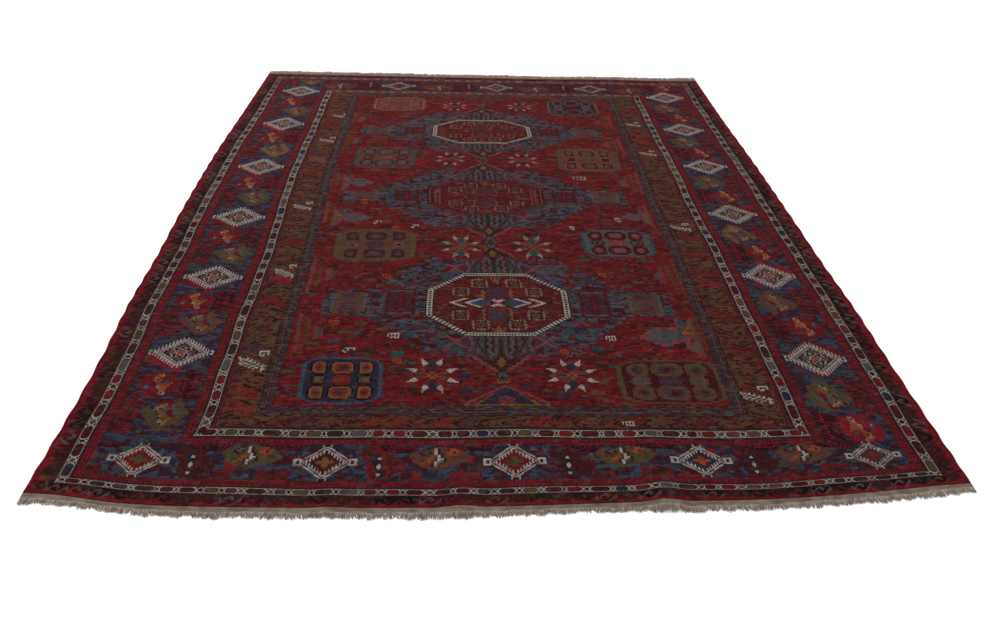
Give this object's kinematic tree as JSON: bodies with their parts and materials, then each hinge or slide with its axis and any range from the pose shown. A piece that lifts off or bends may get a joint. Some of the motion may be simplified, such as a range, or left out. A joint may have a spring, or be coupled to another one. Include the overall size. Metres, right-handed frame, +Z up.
{
  "type": "oriental rug",
  "caption": "Flat-woven oriental rug lying flat, with overcast side cords, plain woven end bands and short frayed warp fringe at both ends.",
  "frame": {"origin": "on the floor under the middle of the rug's box", "axes": "+X across the rug to the viewer's right, +Y along it to the far end, +Z up"},
  "size_m": [2.1452, 3.0398, 0.012],
  "materials": {
    "patterned_wool": "matt flat-woven wool in madder red, blue, brown and ivory",
    "overcast_wool": "matt red wool wrapped round the edge",
    "undyed_warp": "matt undyed wool, plain weave and frayed ends"
  },
  "bodies": {
    "root": {"rug_cloth": "patterned_wool", "selvedge_left": "overcast_wool", "selvedge_right": "overcast_wool", "fringe_near": "undyed_warp", "fringe_far": "undyed_warp"}
  },
  "joints": []
}
